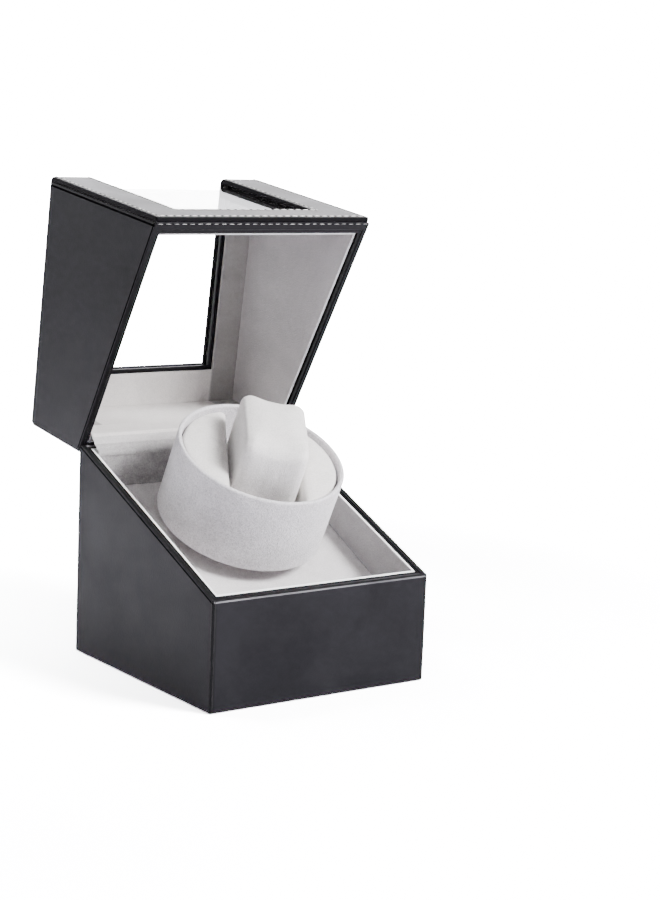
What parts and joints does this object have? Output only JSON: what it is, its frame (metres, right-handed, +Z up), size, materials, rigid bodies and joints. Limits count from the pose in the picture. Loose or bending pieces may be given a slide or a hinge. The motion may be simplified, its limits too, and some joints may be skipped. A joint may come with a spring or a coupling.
{
  "type": "watch winder box",
  "caption": "Leather-covered watch winder box with a sloping rim, hinged lid with bent clear window, velvet lining and a tilted motor-driven drum with a watch cushion.",
  "frame": {"origin": "centre of the case footprint, on the resting face", "axes": "+X to the right seen from the front, +Y to the back, +Z up; the front faces -Y"},
  "size_m": [0.135, 0.1952, 0.2572],
  "materials": {
    "leather": "matte black pebbled leatherette",
    "stitched_leather": "matte black leatherette with light thread",
    "board": "fibreboard, covered",
    "lining_velvet": "short-pile light grey velvet on card",
    "drum_velvet": "short-pile pale grey velvet",
    "cushion_velvet": "short-pile pale grey velvet over foam",
    "felt": "black felt",
    "clear_acrylic": "clear bent acrylic",
    "steel": "bright steel",
    "brass": "plain brass",
    "gear_plastic": "natural acetal",
    "black_plastic": "black moulded plastic",
    "circuit_board": "green laminate",
    "lead_insulation": "PVC insulation"
  },
  "bodies": {
    "base": {"base_leather": "leather", "base_left_board": "board", "base_right_board": "board", "base_front_board": "board", "base_back_board": "board", "base_blocks": "board", "bottom_board": "board", "bottom_screws": "steel", "bottom_felt": "felt", "lining_base_left": "lining_velvet", "lining_base_right": "lining_velvet", "lining_base_front": "lining_velvet", "lining_base_back": "lining_velvet", "deck": "lining_velvet", "deck_cleats": "board", "upper_plate": "steel", "lower_plate": "steel", "plate_pillars": "brass", "plate_screws": "steel", "idler_post": "steel", "motor": "steel", "motor_screws": "steel", "spindle_bush": "brass", "hinge_base_leaves": "brass", "hinge_pins": "brass", "hinge_flap": "lining_velvet", "rear_plate": "black_plastic", "rear_screws": "steel", "board_spacers": "black_plastic", "control_board": "circuit_board", "mode_switch": "black_plastic", "power_jack": "black_plastic", "motor_leads": "lead_insulation"},
    "lid": {"window_pane": "clear_acrylic", "lid_left_board": "board", "lid_right_board": "board", "lid_back_board": "board", "lid_front_board": "board", "lid_top_board": "board", "lid_leather": "leather", "stitched_frame": "stitched_leather", "lining_lid_left": "lining_velvet", "lining_lid_right": "lining_velvet", "lining_lid_front": "lining_velvet", "lining_lid_back": "lining_velvet", "lining_lid_top": "lining_velvet", "hinge_lid_leaves": "brass"},
    "drum": {"spindle": "steel", "output_gear": "gear_plastic", "drum_hub": "black_plastic", "drum_shell": "drum_velvet", "hub_screws": "steel", "slot_floor": "drum_velvet", "pad_right": "drum_velvet", "pad_left": "drum_velvet"},
    "cushion": {"watch_cushion": "cushion_velvet"},
    "idler": {"idler_gear": "gear_plastic"},
    "motor_rotor": {"motor_pinion": "steel"},
    "mode_dial": {"mode_knob": "black_plastic", "switch_shaft": "steel"}
  },
  "joints": [
    {"name": "lid_hinge", "type": "hinge", "parent": "base", "child": "lid", "pos_m": [0, 0.0662, 0.11273], "axis": [1, 0, 0], "range_deg": [0, 82.5], "deforming": ["hinge_flap"]},
    {"name": "drum_spin", "type": "hinge", "parent": "base", "child": "drum", "pos_m": [0, 0.0157, 0.0709], "axis": [0, -0.4415, 0.8973], "continuous": true},
    {"name": "idler_spin", "type": "hinge", "parent": "base", "child": "idler", "pos_m": [0.018, 0.0157, 0.0709], "axis": [0, -0.4415, 0.8973], "continuous": true},
    {"name": "motor_spin", "type": "hinge", "parent": "base", "child": "motor_rotor", "pos_m": [0.036, 0.0157, 0.0709], "axis": [0, -0.4415, 0.8973], "continuous": true},
    {"name": "cushion_lift", "type": "slide", "parent": "drum", "child": "cushion", "axis": [0, -0.4415, 0.8973], "range_m": [0, 0.02]},
    {"name": "mode_turn", "type": "hinge", "parent": "base", "child": "mode_dial", "pos_m": [-0.014, 0.069, 0.03], "axis": [0, 1, 0], "range_deg": [0, 90]}
  ],
  "couplings": [
    {"joint": "idler_spin", "follows": "drum_spin", "ratio": -4},
    {"joint": "motor_spin", "follows": "drum_spin", "ratio": 16}
  ]
}
